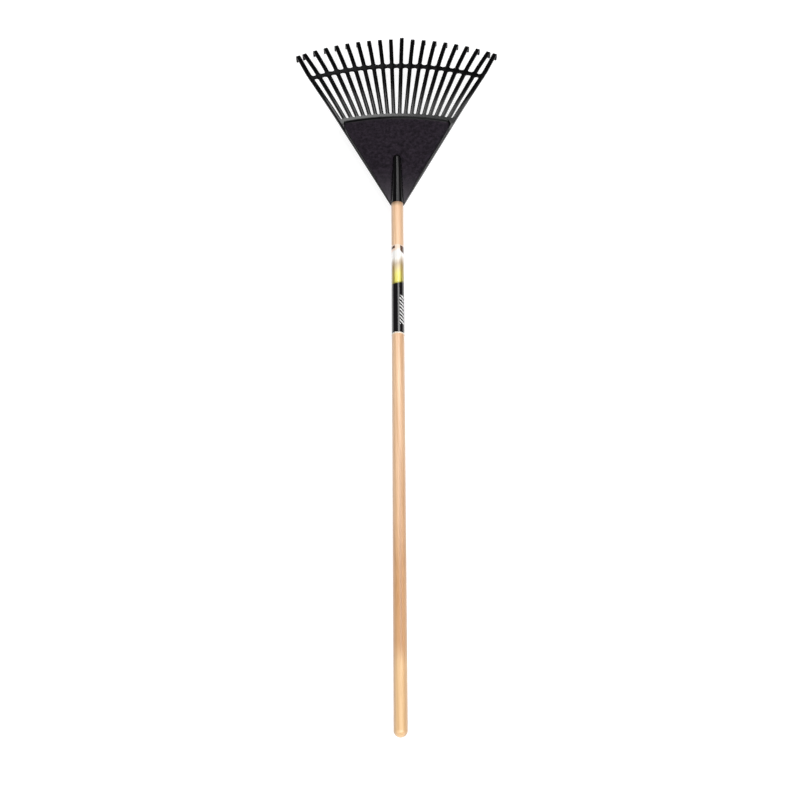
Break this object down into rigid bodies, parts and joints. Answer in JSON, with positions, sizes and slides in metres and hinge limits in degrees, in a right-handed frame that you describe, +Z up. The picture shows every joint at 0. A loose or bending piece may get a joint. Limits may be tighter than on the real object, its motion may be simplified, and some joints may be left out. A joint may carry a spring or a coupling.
{
  "type": "leaf rake",
  "caption": "Leaf rake with a fan of hooked, springy plastic tines joined by a curved crossbar, on a long round wooden handle, for gathering leaves.",
  "frame": {"origin": "on the floor under the middle of the rake's overall length and width, as it lies on its tine tips and the butt of its handle", "axes": "+Y from the butt towards the tine tips, +Z up off the floor, +X to the right of someone looking from the butt to the head"},
  "size_m": [0.452, 1.5814, 0.0446],
  "materials": {
    "handle_wood": "clear lacquered ash, light and straight grained",
    "head_plastic": "black moulded plastic, finely grained panel, smoother tines",
    "label_print": "glossy printed film sleeve, mostly black with a plain white and yellow band",
    "screw_zinc": "bright zinc plated"
  },
  "bodies": {
    "rake": {"handle": "handle_wood", "handle_label": "label_print", "head_screw": "screw_zinc", "head_palm": "head_plastic"},
    "comb": {"tine_comb": "head_plastic"},
    "tine_01": {"tine_end_01": "head_plastic"},
    "tine_02": {"tine_end_02": "head_plastic"},
    "tine_03": {"tine_end_03": "head_plastic"},
    "tine_04": {"tine_end_04": "head_plastic"},
    "tine_05": {"tine_end_05": "head_plastic"},
    "tine_06": {"tine_end_06": "head_plastic"},
    "tine_07": {"tine_end_07": "head_plastic"},
    "tine_08": {"tine_end_08": "head_plastic"},
    "tine_09": {"tine_end_09": "head_plastic"},
    "tine_10": {"tine_end_10": "head_plastic"},
    "tine_11": {"tine_end_11": "head_plastic"},
    "tine_12": {"tine_end_12": "head_plastic"},
    "tine_13": {"tine_end_13": "head_plastic"},
    "tine_14": {"tine_end_14": "head_plastic"},
    "tine_15": {"tine_end_15": "head_plastic"},
    "tine_16": {"tine_end_16": "head_plastic"},
    "tine_17": {"tine_end_17": "head_plastic"},
    "tine_18": {"tine_end_18": "head_plastic"},
    "tine_19": {"tine_end_19": "head_plastic"},
    "tine_20": {"tine_end_20": "head_plastic"}
  },
  "joints": [
    {"name": "comb_flex", "type": "hinge", "parent": "rake", "child": "comb", "pos_m": [0, 0.5751, 0.03456], "axis": [1, 0, 0], "range_deg": [0, 15], "stiffness_Nm_per_rad": 25, "springref_deg": -2.86},
    {"name": "tine_01_flex", "type": "hinge", "parent": "comb", "child": "tine_01", "pos_m": [-0.19451, 0.67221, 0.02934], "axis": [0.9274, 0.3736, -0.0201], "range_deg": [0, 12], "stiffness_Nm_per_rad": 2, "springref_deg": -1.15},
    {"name": "tine_02_flex", "type": "hinge", "parent": "comb", "child": "tine_02", "pos_m": [-0.17673, 0.67861, 0.02899], "axis": [0.9035, 0.4279, -0.023], "range_deg": [0, 12], "stiffness_Nm_per_rad": 2, "springref_deg": -1.15},
    {"name": "tine_03_flex", "type": "hinge", "parent": "comb", "child": "tine_03", "pos_m": [-0.15621, 0.68516, 0.02864], "axis": [0.9246, 0.3803, -0.0204], "range_deg": [0, 12], "stiffness_Nm_per_rad": 2, "springref_deg": -1.15},
    {"name": "tine_04_flex", "type": "hinge", "parent": "comb", "child": "tine_04", "pos_m": [-0.13558, 0.69086, 0.02834], "axis": [0.9432, 0.3317, -0.0178], "range_deg": [0, 12], "stiffness_Nm_per_rad": 2, "springref_deg": -1.15},
    {"name": "tine_05_flex", "type": "hinge", "parent": "comb", "child": "tine_05", "pos_m": [-0.11485, 0.69573, 0.02808], "axis": [0.9592, 0.2822, -0.0152], "range_deg": [0, 12], "stiffness_Nm_per_rad": 2, "springref_deg": -1.15},
    {"name": "tine_06_flex", "type": "hinge", "parent": "comb", "child": "tine_06", "pos_m": [-0.09406, 0.69977, 0.02786], "axis": [0.9726, 0.232, -0.0125], "range_deg": [0, 12], "stiffness_Nm_per_rad": 2, "springref_deg": -1.15},
    {"name": "tine_07_flex", "type": "hinge", "parent": "comb", "child": "tine_07", "pos_m": [-0.07322, 0.70299, 0.02769], "axis": [0.9834, 0.1811, -0.0097], "range_deg": [0, 12], "stiffness_Nm_per_rad": 2, "springref_deg": -1.15},
    {"name": "tine_08_flex", "type": "hinge", "parent": "comb", "child": "tine_08", "pos_m": [-0.05233, 0.7054, 0.02756], "axis": [0.9915, 0.1297, -0.007], "range_deg": [0, 12], "stiffness_Nm_per_rad": 2, "springref_deg": -1.15},
    {"name": "tine_09_flex", "type": "hinge", "parent": "comb", "child": "tine_09", "pos_m": [-0.03141, 0.70701, 0.02747], "axis": [0.9969, 0.0779, -0.0042], "range_deg": [0, 12], "stiffness_Nm_per_rad": 2, "springref_deg": -1.15},
    {"name": "tine_10_flex", "type": "hinge", "parent": "comb", "child": "tine_10", "pos_m": [-0.01047, 0.70781, 0.02743], "axis": [0.9997, 0.026, -0.0014], "range_deg": [0, 12], "stiffness_Nm_per_rad": 2, "springref_deg": -1.15},
    {"name": "tine_11_flex", "type": "hinge", "parent": "comb", "child": "tine_11", "pos_m": [0.01047, 0.70781, 0.02743], "axis": [0.9997, -0.026, 0.0014], "range_deg": [0, 12], "stiffness_Nm_per_rad": 2, "springref_deg": -1.15},
    {"name": "tine_12_flex", "type": "hinge", "parent": "comb", "child": "tine_12", "pos_m": [0.03141, 0.70701, 0.02747], "axis": [0.9969, -0.0779, 0.0042], "range_deg": [0, 12], "stiffness_Nm_per_rad": 2, "springref_deg": -1.15},
    {"name": "tine_13_flex", "type": "hinge", "parent": "comb", "child": "tine_13", "pos_m": [0.05233, 0.7054, 0.02756], "axis": [0.9915, -0.1297, 0.007], "range_deg": [0, 12], "stiffness_Nm_per_rad": 2, "springref_deg": -1.15},
    {"name": "tine_14_flex", "type": "hinge", "parent": "comb", "child": "tine_14", "pos_m": [0.07322, 0.70299, 0.02769], "axis": [0.9834, -0.1811, 0.0097], "range_deg": [0, 12], "stiffness_Nm_per_rad": 2, "springref_deg": -1.15},
    {"name": "tine_15_flex", "type": "hinge", "parent": "comb", "child": "tine_15", "pos_m": [0.09406, 0.69977, 0.02786], "axis": [0.9726, -0.232, 0.0125], "range_deg": [0, 12], "stiffness_Nm_per_rad": 2, "springref_deg": -1.15},
    {"name": "tine_16_flex", "type": "hinge", "parent": "comb", "child": "tine_16", "pos_m": [0.11485, 0.69573, 0.02808], "axis": [0.9592, -0.2822, 0.0152], "range_deg": [0, 12], "stiffness_Nm_per_rad": 2, "springref_deg": -1.15},
    {"name": "tine_17_flex", "type": "hinge", "parent": "comb", "child": "tine_17", "pos_m": [0.13558, 0.69086, 0.02834], "axis": [0.9432, -0.3317, 0.0178], "range_deg": [0, 12], "stiffness_Nm_per_rad": 2, "springref_deg": -1.15},
    {"name": "tine_18_flex", "type": "hinge", "parent": "comb", "child": "tine_18", "pos_m": [0.15621, 0.68516, 0.02864], "axis": [0.9246, -0.3803, 0.0204], "range_deg": [0, 12], "stiffness_Nm_per_rad": 2, "springref_deg": -1.15},
    {"name": "tine_19_flex", "type": "hinge", "parent": "comb", "child": "tine_19", "pos_m": [0.17673, 0.67861, 0.02899], "axis": [0.9035, -0.4279, 0.023], "range_deg": [0, 12], "stiffness_Nm_per_rad": 2, "springref_deg": -1.15},
    {"name": "tine_20_flex", "type": "hinge", "parent": "comb", "child": "tine_20", "pos_m": [0.19451, 0.67221, 0.02934], "axis": [0.9274, -0.3736, 0.0201], "range_deg": [0, 12], "stiffness_Nm_per_rad": 2, "springref_deg": -1.15}
  ]
}
